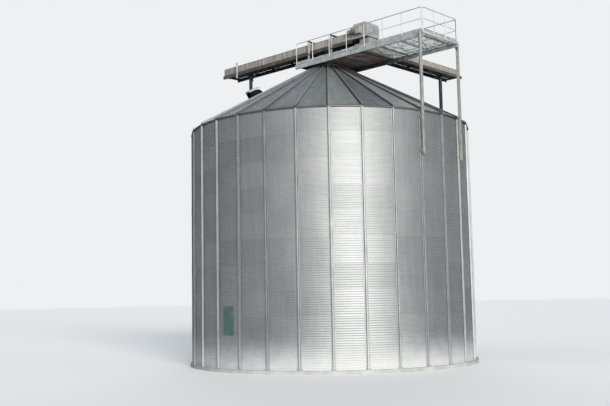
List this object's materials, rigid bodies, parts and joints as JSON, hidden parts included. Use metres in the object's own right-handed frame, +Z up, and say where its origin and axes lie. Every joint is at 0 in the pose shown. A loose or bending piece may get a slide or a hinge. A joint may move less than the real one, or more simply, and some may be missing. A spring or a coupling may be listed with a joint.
{
  "type": "grain silo",
  "caption": "Round corrugated steel grain silo on a concrete slab, with outside stiffeners, a ribbed cone roof with vents, and the conveyor gallery carried over its peak.",
  "frame": {"origin": "on the silo's vertical axis, at the underside of the foundation slab", "axes": "+Z up, +X along the main conveyor gallery towards the platform over the eave, +Y along the cross conveyor"},
  "size_m": [14.5104, 14.4104, 16.5123],
  "materials": {
    "concrete": "cast concrete, weathered",
    "corrugated_sheet": "galvanised corrugated sheet with soft spangle",
    "stiffener_steel": "galvanised, roll formed",
    "roof_sheet": "galvanised, weathered dull grey",
    "frame_steel": "hot-dip galvanised section",
    "grating": "galvanised grating",
    "conveyor_casing": "weathered light grey sheet",
    "green_plate": "faded green paint"
  },
  "bodies": {
    "root": {"foundation_slab": "concrete", "wall_segment_1": "corrugated_sheet", "wall_segment_2": "corrugated_sheet", "wall_segment_3": "corrugated_sheet", "wall_segment_4": "corrugated_sheet", "wall_segment_5": "corrugated_sheet", "stiffener_01": "stiffener_steel", "stiffener_02": "stiffener_steel", "stiffener_03": "stiffener_steel", "stiffener_04": "stiffener_steel", "stiffener_05": "stiffener_steel", "stiffener_06": "stiffener_steel", "stiffener_07": "stiffener_steel", "stiffener_08": "stiffener_steel", "stiffener_09": "stiffener_steel", "stiffener_10": "stiffener_steel", "stiffener_11": "stiffener_steel", "stiffener_12": "stiffener_steel", "stiffener_13": "stiffener_steel", "stiffener_14": "stiffener_steel", "stiffener_15": "stiffener_steel", "stiffener_16": "stiffener_steel", "stiffener_17": "stiffener_steel", "stiffener_18": "stiffener_steel", "stiffener_19": "stiffener_steel", "stiffener_20": "stiffener_steel", "stiffener_21": "stiffener_steel", "stiffener_22": "stiffener_steel", "stiffener_23": "stiffener_steel", "stiffener_24": "stiffener_steel", "stiffener_25": "stiffener_steel", "stiffener_26": "stiffener_steel", "stiffener_27": "stiffener_steel", "stiffener_28": "stiffener_steel", "stiffener_29": "stiffener_steel", "stiffener_30": "stiffener_steel", "roof_sector_1": "roof_sheet", "roof_sector_2": "roof_sheet", "roof_sector_3": "roof_sheet", "roof_sector_4": "roof_sheet", "roof_sector_5": "roof_sheet", "roof_collar": "roof_sheet", "filling_spout": "frame_steel", "roof_vent_west": "roof_sheet", "roof_vent_east": "roof_sheet", "green_plate": "green_plate", "eave_post_south": "frame_steel", "eave_post_north": "frame_steel", "platform_frame": "frame_steel", "platform_deck": "grating", "platform_rail_south": "frame_steel", "platform_rail_northwest": "frame_steel", "platform_rail_northeast": "frame_steel", "platform_rail_east": "frame_steel", "main_gallery_frame": "frame_steel", "cross_gallery_frame": "frame_steel", "cross_conveyor": "conveyor_casing", "main_conveyor": "conveyor_casing", "drive_unit": "conveyor_casing"}
  },
  "joints": []
}
